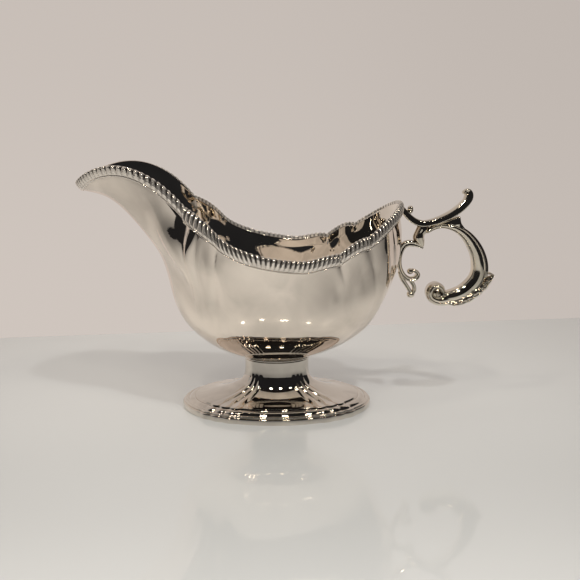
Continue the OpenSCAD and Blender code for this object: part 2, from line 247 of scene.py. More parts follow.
def blend3(ends, c):
    """smooth value through (lip, side, back) for c from -1 to 1"""
    lip, side, back = ends
    return side + (back - lip) / 2 * c + ((lip + back) / 2 - side) * c * c


def crease_at(i, v):
    """rim station of crease i at heights v; past the handle the creases are those of the far side"""
    if i >= len(CREASES):
        return 2 * LAST - crease_at(2 * len(CREASES) - 1 - i, v)
    return np.interp(v, CREASE_HEIGHTS, CREASES[i])


def wall_top(s):
    """where the wall meets the foot of the border"""
    softness = 0.7
    p = rim(s) * (1 - softness) + soft_rim(s) * softness
    height = from_table(HEIGHTS, s)[:, None]
    return p - np.array([0, 0, 1]) * height - outward(s) * lean_at(s)[:, None] * height


def spline_up(rings, v):
    """uniform B-spline up the wall: stations x rings x 3, at heights v from 0 to 1"""
    first, last = 2 * rings[:, :1] - rings[:, 1:2], 2 * rings[:, -1:] - rings[:, -2:-1]
    e = np.concatenate([first, rings, last], 1)
    spans = rings.shape[1] - 1
    i = np.minimum(np.floor(v * spans).astype(int), spans - 1)
    f = (v * spans - i)[None, :, None]
    return ((1 - f) ** 3 * e[:, i] + (3 * f ** 3 - 6 * f ** 2 + 4) * e[:, i + 1]
            + (-3 * f ** 3 + 3 * f ** 2 + 3 * f + 1) * e[:, i + 2] + f ** 3 * e[:, i + 3]) / 6


def wall_base(s, v):
    """the wall without its lobes, with the half width as y"""
    plan = direction(rim(s)[:, 0])
    rings = []
    for xs, half, zs, bunching, share, narrowing, swelling, drawing_in in RINGS:
        angle = plan - math.radians(bunching) * np.sin(2 * plan)
        c = np.cos(angle)
        width = (1 - share) * half * np.sin(angle) + share * half * soft_width(angle) / RIM_HALF_WIDTH
        width = width * (1 - narrowing * smoothstep(-c, 0.6, 0.88)
                         + swelling * np.exp(-((c - THROAT_AT) / THROAT_BREADTH) ** 2)
                         - drawing_in * np.exp(-((c - HEEL_AT) / HEEL_BREADTH) ** 2))
        rings.append(np.stack([blend3(xs, c), width, blend3(zs, np.cos(plan))], 1))
    return spline_up(np.stack(rings + [wall_top(s)], 1), v)


def wall_lobes(base, s, v):
    """how the lobes stand out from the wall, level and away from the middle of the bowl"""
    away = unit(base[:, :, :2] - np.array(LOBE_CENTRE))
    rise = np.zeros(base.shape[:2])
    for first, height, roundness, low, high, tuck in LOBES:
        start, end = crease_at(first, v)[None, :], crease_at(first + 1, v)[None, :]
        u = (np.asarray(s)[:, None] - start) / (end - start)
        lobe = np.where((u > 0) & (u < 1), np.sin(np.pi * np.clip(u, 0, 1)) ** roundness, 0)
        rise += height * lobe * (smoothstep(v, low, high) * (1 - tuck * smoothstep(v, 0.84, 1.0)))[None, :]
    return np.concatenate([away * rise[:, :, None], np.zeros_like(rise)[:, :, None]], 2)


def stations(per_arc):
    """rim stations from lip to handle, with the given number in each arc"""
    return np.concatenate([k + np.arange(n) / n for k, n in enumerate(per_arc)] + [[LAST]])


def closed_round(half):
    """near side, given with its half width as y, joined by the far side: rows x columns x 3"""
    near = half * MIRROR
    return np.concatenate([near, near[-2:0:-1] * MIRROR], 0).transpose(1, 0, 2)


def grid_normals(grid):
    """unit normals of a rows x columns grid that closes across its columns"""
    across = np.roll(grid, -1, 1) - np.roll(grid, 1, 1)
    return unit(np.cross(across, np.gradient(grid, axis=0)))


def eased_across(grid, reach):
    """grid averaged over the columns within reach"""
    taps = np.hanning(2 * reach + 3)[1:-1]
    wrapped = np.concatenate([grid[:, -reach:], grid, grid[:, :reach]], 1)
    return sum(wrapped[:, i:i + grid.shape[1]] * t for i, t in enumerate(taps / taps.sum()))


def dished_floor(ring, depth, steps):
    """rings from a wall's lowest ring to the middle, carrying on its slope and rounding off"""
    centre = ring.mean(0)
    out = []
    for r in np.linspace(1, 0.04, steps + 1)[1:]:
        q = centre + (ring - centre) * r
        q[:, 2] = ring[:, 2] - depth * (1 - r * r)
        out.append(q)
    return out


def build_bowl():
    """the bowl as one closed skin: up the outside, over the rim, down the inside and across the floor"""
    s = stations([int(n * FINE) for n in WALL_COLUMNS])
    rows = int(WALL_ROWS * FINE)
    v = np.linspace(0, 1, rows)
    half = wall_base(s, v)
    base, lobes = closed_round(half), closed_round(wall_lobes(half, s, v))
    normal = grid_normals(base)
    # outward, which at the lip is toward -X
    if normal[rows // 2, 0, 0] > 0:
        normal = -normal
    outer = base + lobes
    # the inside follows, with the creases eased toward the rim
    inner = base - normal * WALL + lobes * INSIDE_RELIEF
    eased = eased_across(inner, int(11 * FINE))
    inner = inner + (eased - inner) * smoothstep(v, 0.45, 0.75)[:, None, None]
    # above the wall the rim: straight up behind the border, rounded over, and down inside
    crest = closed_round(rim(s)[:, None, :])[0]
    crest_inside = crest - closed_round(outward(s)[:, None, :])[0] * WALL * 0.9
    behind_border = [outer[-1] + (crest - outer[-1]) * t for t in (0.25, 0.5, 0.75, 0.9)]
    crown = [crest * (1 - t) + crest_inside * t - [0, 0, drop]
             for t, drop in ((0.15, 0.15), (0.5, 0.05), (0.85, 0.15))]
    inside = [inner[-1] + (crest_inside - inner[-1]) * t for t in (0.92, 0.8, 0.6, 0.4, 0.2)]
    outside = dished_floor(outer[0], 2.0, 10)[::-1] + list(outer) + behind_border + crown
    rings = outside + inside + list(inner[::-1]) + dished_floor(inner[0], 2.2, 14)
    cols = outer.shape[1]
    # the inner skin has a finish of its own
    within = np.arange(len(rings)) >= len(outside)
    return make_mesh("bowl_skin", np.concatenate(rings), tube_faces(len(rings), cols),
                     recess=np.repeat(within.astype(float), cols))


# ---------------------------------------------------------------- gadroon border
# usual height of the border, and mesh steps along each half of it
BORDER_HEIGHT = 4.6
BORDER_STEPS = 1900
# section, as (share of the height down from the rim, distance outside the rim): the plain crest,
# the face with the lobes, the fillet under it, and the back
CREST = [(0.06, -0.40), (-0.08, -0.40), (-0.20, -0.40), (-0.26, -0.36)]
LOBED = [(-0.31, -0.24), (-0.37, 0.08), (-0.385, 0.55), (-0.34, 1.10), (-0.23, 1.60), (-0.09, 1.96),
         (0.06, 2.12), (0.21, 2.10), (0.35, 2.12), (0.48, 2.12), (0.60, 1.98), (0.71, 1.70),
         (0.80, 1.36), (0.86, 1.04)]
FILLET = [(0.875, 1.0), (0.895, 1.22), (0.93, 1.28), (0.97, 1.12), (0.995, 0.70), (1.0, 0.1)]
BORDER_BACK = [(0.6, -0.12), (0.2, -0.12)]
# by rim station: how far the crest is lowered, the spacing of the lobes, and how many spacings each leans
CREST_DROP = [(0, 0.45), (0.7, 0.42), (1.05, 0.1), (1.5, 0)]
PITCH = [(0, 2.2), (0.25, 2.5), (0.7, 3.0), (1.3, 2.8), (2.0, 2.35), (2.6, 2.2), (4, 2.2), (6, 2.2)]
SLANT = [(0, 0.1), (1.5, 0.0), (2.1, -1.5), (2.5, -1.5), (2.8, 1.0), (3.6, 1.3), (3.8, 1.6), (4.1, 1.6),
         (4.3, 0.1), (6, -0.1)]
# depth of the grooves between the lobes: at their tails, and what their heads add to it
GROOVE_DEPTH, HEAD_DEPTH = 0.5, 0.75


def even_stations(steps):
    """rim stations at even distances along the rim, and those distances"""
    fine = np.linspace(0, LAST, 6000)
    length = np.concatenate([[0], np.cumsum(np.linalg.norm(np.diff(rim(fine), axis=0), axis=1))])
    run = np.linspace(0, length[-1], steps + 1)
    return np.interp(run, length, fine), run


def lobe_count(s, run):
    """number of lobes from the lip on, with a whole number of them at the handle"""
    count = np.concatenate([[0], np.cumsum(np.diff(run) / from_table(PITCH, s)[1:])])
    return count * (round(count[-1]) / count[-1])


def square_out(s):
    """level direction square to the rim, and along the boat at both its ends"""
    reach = 0.02
    along = rim(np.minimum(LAST, s + reach)) - rim(np.maximum(0, s - reach))
    out = np.stack([-along[:, 1], along[:, 0], 0 * s], 1)
    out[0] = (-1, 0, 0)
    out[-1] = (1, 0, 0)
    return unit(out)


def build_border(side, name):
    """half of the border, side -1 for the near one and 1 for the far one"""
    steps = int(BORDER_STEPS * FINE)
    s, run = even_stations(steps)
    crest, lobed = smooth_chain(CREST, 2), smooth_chain(LOBED, 2)
    share, reach = np.concatenate([crest, lobed, smooth_chain(FILLET, 2), BORDER_BACK]).T
    cols = len(share)
    # place down the face with the lobes: 0 at the crest, 1 at the fillet
    fall = np.cumsum(np.hypot(np.diff(lobed[:, 0]) * BORDER_HEIGHT, np.diff(lobed[:, 1])))
    place = np.zeros(cols)
    place[len(crest) + 1:len(crest) + len(lobed)] = fall / fall[-1]
    # the lobes' strength across the section, and how much of a place is their heads
    strength = np.minimum(1, 0.4 + place * 12) ** 0.7 * np.minimum(1, (1 - place) * 6) * (np.arange(cols) > 0)
    strength[len(crest) + len(lobed):] = 0
    head = 1 - smoothstep(place, 0.35, 0.75)
    phase = lobe_count(s, run)[:, None] + from_table(SLANT, s)[:, None] * (place[None, :] - 0.5)
    wave = np.abs(np.sin(np.pi * phase)) ** (0.55 - 0.1 * place[None, :])
    # grooves go in square to the section
    cut = (GROOVE_DEPTH + HEAD_DEPTH * head)[None, :] * strength[None, :] * (1 - wave)
    along_share, along_reach = np.gradient(share) * BORDER_HEIGHT, np.gradient(reach)
    size = np.maximum(np.hypot(along_share, along_reach), 1e-6)
    normal_share, normal_reach = -along_reach / size, along_share / size
    height = from_table(HEIGHTS, s)[:, None]
    # along the lip the crest stands hardly above the rim
    lowered = share[None, :] + np.clip(0.5 - share, 0, 1)[None, :] * from_table(CREST_DROP, s)[:, None]
    lean = lean_at(s)[:, None] * lowered * height
    out = reach[None, :] - cut * np.maximum(normal_reach, 0.0)[None, :] - lean
    points = rim(s)[:, None, :] + out[:, :, None] * square_out(s)[:, None, :]
    points[:, :, 2] -= lowered * height - cut * np.minimum(normal_share, 0.0)[None, :]
    # painted shade: the grooves are painted near black, more so between the heads
    groove = np.clip((strength * (0.3 + 0.7 * head))[None, :] * (1 - wave) * 2.4, 0, 1).ravel()
    return make_mesh(name, points.reshape(-1, 3) * np.array([1, side, 1]),
                     tube_faces(steps + 1, cols, turned=(side > 0)), recess=groove)


# ---------------------------------------------------------------- foot
FOOT_HALF_LENGTH, FOOT_HALF_WIDTH = 47.4, 33.7
FOOT_SHEET = 1.2
# mesh columns round the foot and round the collar
FOOT_COLUMNS, COLLAR_COLUMNS = 540, 240
# ribs at the oval's corners: directions of the corners from the middle, and half the angle that the
# ribs of a corner take up, in degrees, and how many ribs that is
RIB_CORNERS = (51, 129, 231, 309)
RIB_SPREAD = 13.5
RIBS = 3
# the edge's mouldings, as (inset from the edge, z, height of the ribs)
MOULDINGS = [(0.9, 3.02, 0.5), (0.85, 3.45, 0.5), (1.15, 3.75, 0.5), (1.8, 3.78, 0.5), (2.25, 3.5, 0.5),
             (2.7, 3.55, 0.5), (3.2, 4.2, 0.55), (4.0, 4.85, 0.6), (5.0, 5.15, 0.6), (5.8, 5.05, 0.6),
             (6.15, 4.95, 0.7), (6.35, 5.3, 0.7), (6.6, 5.75, 0.8)]
MOULDING_RIBS = 1.35
# the dome and stem above them, as (half length, half width, z, height of the ribs)
DOME = [(39.5, 26.0, 5.95, 1.1), (33.5, 20.9, 6.9, 1.25), (26.0, 16.8, 8.9, 1.2), (19.6, 13.7, 11.8, 0.8),
        (16.9, 12.3, 14.8, 0.3), (16.05, 11.75, 17.8, 0.05), (15.9, 11.65, 21.0, 0), (16.0, 11.7, 24.3, 0)]
# the upright band at the edge, as (inset, z)
BAND_SECTION = [(2.0, 0.0), (0.45, 0.0), (0.12, 0.12), (0.0, 0.45), (0.0, 1.2), (0.0, 2.3), (0.12, 2.7),
                (0.4, 2.95), (0.9, 3.02), (2.0, 3.02)]
BAND_RIBS = 0.62
COLLAR_HALF_LENGTH, COLLAR_HALF_WIDTH, COLLAR_Z = 16.05, 11.75, 24.9


def rib_wave(degrees):
    """the ribs at each corner of the oval, with creases between them; the plain panels stay at 0"""
    out = np.zeros_like(degrees)
    for corner in RIB_CORNERS:
        d = np.abs((degrees - corner + 180) % 360 - 180)
        wave = np.abs(np.sin(np.radians(RIBS * 90 / RIB_SPREAD * (d + RIB_SPREAD)))) ** 0.7
        out = np.maximum(out, np.where(d < RIB_SPREAD, wave, 0))
    return out


def oval_shell(name, profile, cols):
    """closed shell round the foot's axis from a loop of (half length, half width, z, height of the ribs)"""
    degrees = np.arange(cols) * 360.0 / cols
    wave = rib_wave(degrees)
    c, s = np.cos(np.radians(degrees)), np.sin(np.radians(degrees))
    rows = []
    for rx, ry, z, ribs in profile:
        nx, ny = c / rx, s / ry
        size = np.sqrt(nx * nx + ny * ny)
        rows.append(np.stack([rx * c + ribs * wave * nx / size,
                              ry * s + ribs * wave * ny / size, 0 * c + z], 1))
    return make_mesh(name, np.concatenate(rows), grid_faces(len(rows), cols, wrap_rows=True))


def build_foot():
    """mouldings, dome and stem as one hollow sheet, open below"""
    edge = [(FOOT_HALF_LENGTH - i, FOOT_HALF_WIDTH - i, z, r * MOULDING_RIBS) for i, z, r in MOULDINGS]
    outside = [tuple(r) for r in smooth_chain(edge, 4)]
    outside += [tuple(r) for r in smooth_chain([edge[-1]] + DOME, 9)[1:]]
    # the inside is plain, and above the edge it lies lower by the sheet's thickness
    inside = [(max(1, rx - FOOT_SHEET), max(1, ry - FOOT_SHEET), z - (0.9 if z > 3.2 else 0), 0.0)
              for rx, ry, z, _ in outside[::-1]]
    return oval_shell("foot_skin", outside + inside, int(FOOT_COLUMNS * FINE))


def build_foot_rim():
    """the upright band round the edge, on which the boat stands"""
    profile = [(FOOT_HALF_LENGTH - i, FOOT_HALF_WIDTH - i, z, BAND_RIBS if i < 1.5 else 0)
               for i, z in BAND_SECTION]
    return oval_shell("foot_rim_skin", profile, int(FOOT_COLUMNS * FINE))


def build_collar():
    """the thin ring between the stem and the bowl"""
    bulge = []
    for k in range(13):
        t = math.pi * (k / 12 - 0.5)
        out = 0.45 * math.cos(t)
        bulge.append((COLLAR_HALF_LENGTH + out, COLLAR_HALF_WIDTH + out, COLLAR_Z + 0.6 * math.sin(t), 0))
    profile = [(14, 9.6, 24.3, 0)] + bulge + [(14, 9.6, 25.5, 0)]
    return oval_shell("collar_skin", profile, int(COLLAR_COLUMNS * FINE))


# ---------------------------------------------------------------- handle
def section(half, steps=3):
    """closed section from its half: u toward the outside of the sweep, v across"""
    return closed_chain(half + [(u, -v) for u, v in half[-2:0:-1]], steps)


def circle(step, ripple=0.0):
    """half a circle of radius 1, every step degrees, with six ripples to the whole if wanted"""
    out = []
    for degrees in range(0, 181, step):
        t = math.radians(degrees)
        radius = 1 + ripple * math.cos(6 * t)
        out.append((math.cos(t) * radius, math.sin(t) * radius))
    return out


ROUND = section(circle(18))
# knuckle: ribbed like a bud
BUD = section(circle(10, ripple=0.07), 2)
# thumb strap: rounded top, sides sloping out to a rounded lower edge
STRAP = section([(1.0, 0), (0.97, 0.3), (0.84, 0.62), (0.6, 0.79), (0.2, 0.88), (-0.2, 0.95), (-0.6, 1.0),
                 (-0.82, 0.92), (-0.96, 0.55), (-1, 0)])
# bracket: squared bar with a groove along each face
GROOVED = section([(1, 0), (0.96, 0.5), (0.78, 0.88), (0.45, 1.0), (0.12, 0.88), (-0.12, 0.88), (-0.45, 1.0),
                   (-0.78, 0.88), (-0.96, 0.5), (-1, 0)])
# scroll: flat outer band, a ridge, a rounded face and a bead along the inner edge
RIDGED = section([(1.0, 0), (0.99, 0.3), (0.95, 0.50), (0.78, 0.66), (0.60, 0.82), (0.52, 0.93), (0.45, 0.93),
                  (0.38, 0.86), (0.2, 0.93), (-0.05, 0.97), (-0.35, 0.90), (-0.58, 0.78), (-0.70, 0.66),
                  (-0.76, 0.72), (-0.86, 0.70), (-0.96, 0.42), (-1, 0)])

# lines of the handle's bars, each a list of (x, z, half thickness, half width)
ARM = [(61.6, 98.6, 1.4, 2.3), (63.2, 96.6, 1.6, 2.4), (65.4, 94.3, 1.7, 2.4), (68.4, 92.3, 1.7, 2.5),
       (72, 91.4, 1.6, 2.7), (76, 92, 1.6, 3.1), (80.3, 93.4, 1.7, 3.6), (84.8, 95.5, 1.8, 4.0),
       (88.8, 98.1, 1.9, 4.1), (92, 101, 1.9, 3.9), (94, 103.7, 1.8, 3.4), (94.5, 105.9, 1.5, 2.9),
       (93.8, 107.3, 1.2, 2.4), (92.7, 107.4, 0.9, 2.0)]
ARM_TIP = [(91.6, 102.3, 0.5, 2.2), (92.6, 103.9, 0.9, 2.6), (93.1, 105.4, 0.9, 2.5), (92.6, 106.3, 0.6, 2.0)]
CURL = [(62.8, 97.9, 0.9, 1.8), (64.6, 96.9, 0.95, 1.8), (66, 97.6, 0.95, 1.8), (66.1, 99, 0.8, 1.7)]
SCROLL = [(74.4, 87.6, 1.0, 2.3), (77.3, 89.5, 1.3, 2.4), (81, 90.4, 1.35, 2.6), (85.4, 89.9, 1.6, 2.8),
          (89.8, 88.2, 2.1, 3.1), (93.7, 85.2, 2.7, 3.4), (97, 81, 3.3, 3.6), (99.4, 76.5, 3.7, 3.8),
          (100.7, 71.8, 4.1, 3.9), (100.9, 67.3, 4.3, 3.9), (99.7, 63.3, 4.4, 3.9), (97, 59.8, 4.3, 3.9),
          (93.3, 56.8, 4.2, 3.9), (89.2, 55, 4.0, 3.9), (85.5, 54.2, 3.7, 3.9)]
VOLUTE = [(88.6, 54.7, 3.6, 3.8), (85.3, 53.7, 3.3, 3.9), (82.2, 53, 2.8, 4.0), (79.5, 53.3, 2.5, 4.1),
          (77.2, 54.6, 2.3, 4.2), (76.3, 57, 2.2, 4.3), (77.2, 59.3, 2.1, 4.3), (79.3, 60.3, 1.9, 4.35),
          (81.5, 59.6, 1.7, 4.4), (82.6, 57.7, 1.4, 4.4), (82.2, 55.9, 1.2, 4.5), (80.7, 55.1, 1.1, 4.55),
          (79.4, 55.9, 1.0, 4.6), (79.3, 57.2, 0.9, 4.65), (80.3, 57.7, 0.8, 4.7)]
KNUCKLE = [(72.3, 90, 2.6, 2.5), (71.8, 88.6, 2.8, 2.7), (70.6, 86.6, 2.45, 2.7), (70.1, 84.4, 2.7, 3.0),
           (70.9, 82.4, 2.2, 2.5), (71.7, 80.6, 1.3, 1.6), (71.9, 79.4, 0.5, 0.7)]
BRACKET = [(72.2, 79.3, 0.5, 1.0), (69.2, 80.9, 1.2, 1.9), (66.4, 81.6, 1.6, 2.1), (63.9, 81.3, 1.7, 2.2),
           (62.1, 79.6, 1.6, 2.2), (61.0, 76.6, 1.35, 2.2), (60.6, 72.8, 1.2, 2.2), (61.2, 69.1, 1.2, 2.2),
           (63.1, 65.6, 1.2, 2.2), (66, 63.7, 1.25, 2.2), (68.8, 64, 1.25, 2.2), (70.1, 65.7, 1.2, 2.2),
           (69.3, 67.4, 1.0, 2.1), (67.6, 68.2, 0.85, 2.0)]
DROP = [(61, 66.9, 0.8, 1.7), (62.2, 64.1, 1.0, 1.7), (64.5, 60.6, 1.0, 1.7), (66.3, 57.7, 1.0, 1.8),
        (67, 56.2, 0.9, 1.8)]
DROP_TURN = [(66.4, 63.1, 1.0, 1.8), (68.1, 60.7, 1.0, 1.8), (68.6, 58.4, 1.0, 1.8), (67.8, 56.6, 0.9, 1.8)]
LEAF = [(108.4, 65.2, 0.3, 0.5), (107.1, 64.2, 1.2, 1.7), (104.7, 62.3, 2.1, 3.2), (101.5, 59, 2.5, 4.1),
        (97.8, 55.9, 2.5, 4.3), (93.7, 53.3, 2.3, 4.3), (89.8, 51.9, 1.8, 4.1), (86.2, 51.4, 0.9, 3.6)]
LEAF_TURN = [(104.4, 66.4, 0.5, 2.6), (106, 66.3, 0.7, 2.2), (107.4, 65.8, 0.5, 1.4), (108.4, 65.3, 0.3, 0.5)]
LEAF_FOLD = [(107, 64.8, 0.5, 1.2), (104.4, 63.1, 0.9, 3.6), (102.6, 60.8, 0.8, 3.9), (102.2, 58.9, 0.4, 3.8)]
# beads along the leaf, on both its sides: x, z, radius
BEADS = [(103.0, 59.5, 0.8), (100.7, 57.6, 1.0), (98.3, 56.7, 0.9), (96.2, 54.7, 0.95), (93.9, 53.5, 0.9),
         (91.7, 52.2, 0.85), (89.8, 51.2, 0.75), (88.0, 50.9, 0.6)]
# web between the arm and the scroll: outline in x, z, half thickness, and how far its edge is rounded in
WEB = [(77.3, 91), (83.4, 92.8), (88.4, 94.6), (89.9, 94.9), (90.3, 94.2), (91, 91.4), (93.4, 87.6),
       (90, 87.4), (85, 89), (80, 90)]
WEB_HALF, WEB_ROUNDING = 2.2, 0.5


def sweep(line, profile=ROUND, steps=8, ripples=0, ripple_depth=0.0):
    """points and faces of a bar with rounded ends along a line of (x, z, half thickness, half width)"""
    stops = smooth_chain(line, steps)
    heading = np.gradient(stops[:, :2], axis=0)
    heading /= np.linalg.norm(heading, axis=1, keepdims=True)
    wave = 1 + ripple_depth * (np.abs(np.sin(np.pi * ripples * np.linspace(0, 1, len(stops)))) - 0.5)

    def ring(i, scale=1.0, shift=0.0):
        """section at stop i, shrunk by scale and moved along the bar by shift"""
        x, z, thick, wide = stops[i]
        hx, hz = heading[i]
        u, v = profile[:, 0] * wave[i], profile[:, 1] * wave[i]
        return np.stack([x - hz * u * thick * scale + hx * shift, v * wide * scale,
                         z + hx * u * thick * scale + hz * shift], 1)
    cap = [math.radians(t) for t in (82, 62, 42, 20)]
    rings = [ring(0, math.cos(t), -math.sin(t) * stops[0][2]) for t in cap]
    rings += [ring(i) for i in range(len(stops))]
    rings += [ring(-1, math.cos(t), math.sin(t) * stops[-1][2]) for t in cap[::-1]]
    return np.concatenate(rings), tube_faces(len(rings), len(profile))


def bead(centre, radii):
    """points and faces of a rounded bead"""
    rows, cols = 12, 20
    x, y, z = centre
    rx, ry, rz = radii
    t = np.radians(np.linspace(4, 176, rows))[:, None]
    p = np.radians(np.arange(cols) * 360 / cols)[None, :]
    points = np.stack([x + rx * np.sin(t) * np.cos(p), y + ry * np.cos(t) + 0 * p,
                       z - rz * np.sin(t) * np.sin(p)], 2)
    return points.reshape(-1, 3), tube_faces(rows, cols)


def plate(outline, half, rounding):
    """points and faces of a flat web with a rounded edge"""
    edge = closed_chain(outline, 4)
    inward = unit(edge.mean(0) - edge)
    rings = []
    for across, depth in ((-1, 1), (-0.8, 0.3), (0, 0), (0.8, 0.3), (1, 1)):
        q = edge + inward * (rounding * depth)
        rings.append(np.stack([q[:, 0], 0 * q[:, 0] + half * across, q[:, 1]], 1))
    return np.concatenate(rings), tube_faces(len(rings), len(edge))


def casting(name, *parts):
    """one mesh from several swept bars and beads that grow out of each other"""
    points, faces, at = [], [], 0
    for part_points, part_faces in parts:
        points.append(part_points)
        faces += [tuple(i + at for i in face) for face in part_faces]
        at += len(part_points)
    return make_mesh(name, np.concatenate(points), faces)


def build_handle():
    """the castings of the handle, by node"""
    leaf_beads = [bead((x, side * 3.85, z), (r * 1.1, 0.9, r * 0.85))
                  for x, z, r in BEADS for side in (-1, 1)]
    return {
        "handle_arm": casting("arm_skin", sweep(ARM, STRAP), sweep(ARM_TIP),
                              bead((92, 0, 106.6), (1.2, 2.3, 1.1)),
                              sweep(CURL), bead((65.6, 0, 98.8), (1.45, 2.1, 1.4))),
        "handle_scroll": casting("scroll_skin", sweep(SCROLL, RIDGED), plate(WEB, WEB_HALF, WEB_ROUNDING)),
        "handle_volute": casting("volute_skin", sweep(VOLUTE, RIDGED), bead((80, 0, 56.8), (3.6, 4.2, 3.6)),
                                 bead((80.5, 0, 56.7), (1.3, 5.0, 1.2))),
        "handle_leaf": casting("leaf_skin", sweep(LEAF, RIDGED, steps=10, ripples=7, ripple_depth=0.12),
                               sweep(LEAF_TURN), sweep(LEAF_FOLD), *leaf_beads),
        "handle_knuckle": casting("knuckle_skin", sweep(KNUCKLE, BUD)),
        "handle_bracket": casting("bracket_skin", sweep(BRACKET, GROOVED),
                                  bead((66.3, 0, 67.6), (1.6, 2.2, 1.5))),
        "handle_drop": casting("drop_skin", sweep(DROP, GROOVED), sweep(DROP_TURN, GROOVED),
                               bead((66.9, 0, 55.9), (2.0, 2.1, 1.8)))}


# ---------------------------------------------------------------- materials
def new_material(name):
    """material with an empty node tree, that tree, and its output node"""
    material = bpy.data.materials.new(name)
    material.use_nodes = True
    tree = material.node_tree
    tree.nodes.clear()
    return material, tree, tree.nodes.new("ShaderNodeOutputMaterial")


def add_node(tree, kind, **values):
    """new shader node with the given inputs set, such as From_Min=0.2 for the one called From Min"""
    node = tree.nodes.new("ShaderNode" + kind)
    for name, value in values.items():
        node.inputs[name.replace("_", " ")].default_value = value
    return node


def noise_range(tree, place, noise, **span):
    """noise at a place, mapped onto a range"""
    source = add_node(tree, "TexNoise", **noise)
    mapped = add_node(tree, "MapRange", **span)
    tree.links.new(place, source.inputs["Vector"])
    tree.links.new(source.outputs["Fac"], mapped.inputs["Value"])
    return mapped.outputs[0]


def silver(name, color, second, rough, haze=0.04, smudge=0.0, metal=1.0, recess=False):
    """polished metal of a colour that tends to a second one in small flecks, and where a mesh has recess"""
    material, tree, output = new_material(name)
    link = tree.links.new
    shader = add_node(tree, "BsdfPrincipled", Metallic=metal)
    link(shader.outputs[0], output.inputs[0])
    place = add_node(tree, "TexCoord").outputs["Object"]
    # broad haze: fingerprints and rubbing make some patches a little less sharp
    haze_at = noise_range(tree, place, {"Scale": 38.0, "Detail": 5.0, "Roughness": 0.62},
                          From_Min=0.42, From_Max=0.72, To_Min=rough, To_Max=rough + haze)
    link(haze_at, shader.inputs["Roughness"])
    # flecks of the second colour
    share = noise_range(tree, place, {"Scale": 120.0, "Detail": 4.0},
                        From_Min=0.55, From_Max=0.8, To_Min=0.0, To_Max=0.35)
    # where the mesh's recess attribute is set it takes the second colour: on the border that is the grooves'
    # painted shade, on the bowl the inner skin's tint
    if recess:
        attribute = add_node(tree, "Attribute")
        attribute.attribute_name = "recess"
        larger = add_node(tree, "Math")
        larger.operation = "MAXIMUM"
        link(share, larger.inputs[0])
        link(attribute.outputs["Fac"], larger.inputs[1])
        share = larger.outputs[0]
    mix = add_node(tree, "Mix")
    mix.data_type = "RGBA"
    mix.inputs[6].default_value = (*color, 1)
    mix.inputs[7].default_value = (*second, 1)
    link(share, mix.inputs[0])
    # soft smudges, darker than the rest
    brightness = noise_range(tree, place, {"Scale": 52.0, "Detail": 3.5, "Distortion": 0.6},
                             From_Min=0.34, From_Max=0.62, To_Min=1 - smudge, To_Max=1.0)
    tone = add_node(tree, "VectorMath")
    tone.operation = "SCALE"
    link(mix.outputs[2], tone.inputs[0])
    link(brightness, tone.inputs["Scale"])
    link(tone.outputs[0], shader.inputs["Base Color"])
    # very fine scratches, as a faint bump of a stretched noise
    stretch = add_node(tree, "Mapping", Scale=(60, 60, 240), Rotation=(0.3, 0.5, 0.2))
    scratches = add_node(tree, "TexNoise", Scale=9.0, Detail=3.0)
    bump = add_node(tree, "Bump", Strength=0.02, Distance=0.0001)
    link(place, stretch.inputs["Vector"])
    link(stretch.outputs[0], scratches.inputs["Vector"])
    link(scratches.outputs["Fac"], bump.inputs["Height"])
    link(bump.outputs[0], shader.inputs["Normal"])
    return material


# warmer than silver: partly the metal's own tone, partly the room's warm light painted into the colour
BOWL_SILVER = silver("polished_silver", (0.975, 0.875, 0.778), (0.96, 0.895, 0.80), 0.006,
                     haze=0.016, smudge=0.18, recess=True)
# painted shade: near black for the border's grooves, the second colour of both border materials
GROOVE_PAINTED_SHADE = (0.02, 0.017, 0.014)
BORDER_SILVER = silver("border_silver", (0.89, 0.82, 0.74), GROOVE_PAINTED_SHADE, 0.10, metal=0.80, recess=True)
# painted light: the far border is a lighter, less metallic copy of the near border's silver, so that it shows
# brighter
FAR_BORDER_LIT_SILVER = silver("border_far_lit_silver", (0.90, 0.84, 0.77), GROOVE_PAINTED_SHADE, 0.12,
                           metal=0.72, recess=True)
# painted shade: the foot and the handle take darker copies of the silver than the bowl
FOOT_SHADED_SILVER = silver("foot_shaded_silver", (0.80, 0.745, 0.675), (0.60, 0.54, 0.47), 0.008, haze=0.03, smudge=0.22)
HANDLE_SHADED_SILVER = silver("handle_silver", (0.80, 0.73, 0.62), (0.42, 0.37, 0.29), 0.06, smudge=0.2)


def put(piece, node, material):
    """gives a piece its material, and has it ride on the boat in place of a CAD node"""
    piece.data.materials.clear()
    piece.data.materials.append(material)
    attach(piece, "root")
    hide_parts(node)


put(build_bowl(), "bowl", BOWL_SILVER)
put(build_border(-1, "border_near_skin"), "border_near", BORDER_SILVER)
put(build_border(1, "border_far_skin"), "border_far", FAR_BORDER_LIT_SILVER)
put(build_foot(), "foot", FOOT_SHADED_SILVER)
put(build_foot_rim(), "foot_rim", FOOT_SHADED_SILVER)
put(build_collar(), "stem_collar", FOOT_SHADED_SILVER)
for node_name, handle_piece in build_handle().items():
    put(handle_piece, node_name, HANDLE_SHADED_SILVER)


# ---------------------------------------------------------------- stage
def painted(name, color, rough, coat=0.0):
    """plain paint, with a glossy clear coat if wanted"""
    material, tree, output = new_material(name)
    shader = add_node(tree, "BsdfPrincipled", Base_Color=(*color, 1), Roughness=rough, Coat_Weight=coat,
                      Coat_Roughness=0.01, Coat_IOR=1.8)
    tree.links.new(shader.outputs[0], output.inputs[0])
    return material


def glow(name, color, strength):
    """material that gives off light"""
    material, tree, output = new_material(name)
    shader = add_node(tree, "Emission", Color=(*color, 1), Strength=strength)
    tree.links.new(shader.outputs[0], output.inputs[0])
    return material


